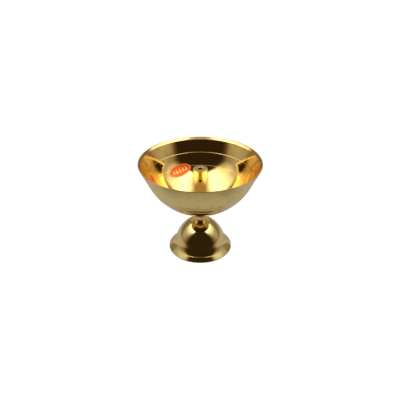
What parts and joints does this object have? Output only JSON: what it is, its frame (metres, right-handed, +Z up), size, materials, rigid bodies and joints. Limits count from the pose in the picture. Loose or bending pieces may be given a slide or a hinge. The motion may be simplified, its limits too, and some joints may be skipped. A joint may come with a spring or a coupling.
{
  "type": "diya oil lamp",
  "caption": "Brass diya oil lamp: a flared hemispherical oil bowl on a beaded collar and bell-shaped foot, with a tubular wick pillar screwed into the centre of the bowl.",
  "frame": {"origin": "centre of the foot's base circle, on the surface that the lamp stands on", "axes": "+Z up along the axis of revolution; -Y is the front, where the pillar's cross hole faces"},
  "size_m": [0.0898, 0.0898, 0.073],
  "materials": {
    "bowl_brass": "lathe-satin outside, polished inside",
    "foot_brass": "polished",
    "collar_brass": "satin",
    "pillar_brass": "turned satin",
    "seal_rubber": "matte",
    "plated_steel": "zinc-plated",
    "label_foil": "printed foil"
  },
  "bodies": {
    "lamp": {"bowl": "bowl_brass", "foot": "foot_brass", "neck_collar": "collar_brass", "clamp_screw": "plated_steel", "screw_washer": "plated_steel", "label": "label_foil"},
    "seal": {"seal_washer": "seal_rubber"},
    "pillar": {"wick_pillar": "pillar_brass"}
  },
  "joints": [
    {"name": "seal_lift", "type": "slide", "parent": "lamp", "child": "seal", "axis": [0, 0, 1], "range_m": [0, 0.0048]},
    {"name": "pillar_unscrew", "type": "hinge", "parent": "seal", "child": "pillar", "pos_m": [0, 0, 0.0365], "axis": [0, 0, 1], "range_deg": [0, 2160]}
  ],
  "couplings": [
    {"joint": "seal_lift", "follows": "pillar_unscrew", "m_per_rad": 0.00012732}
  ]
}
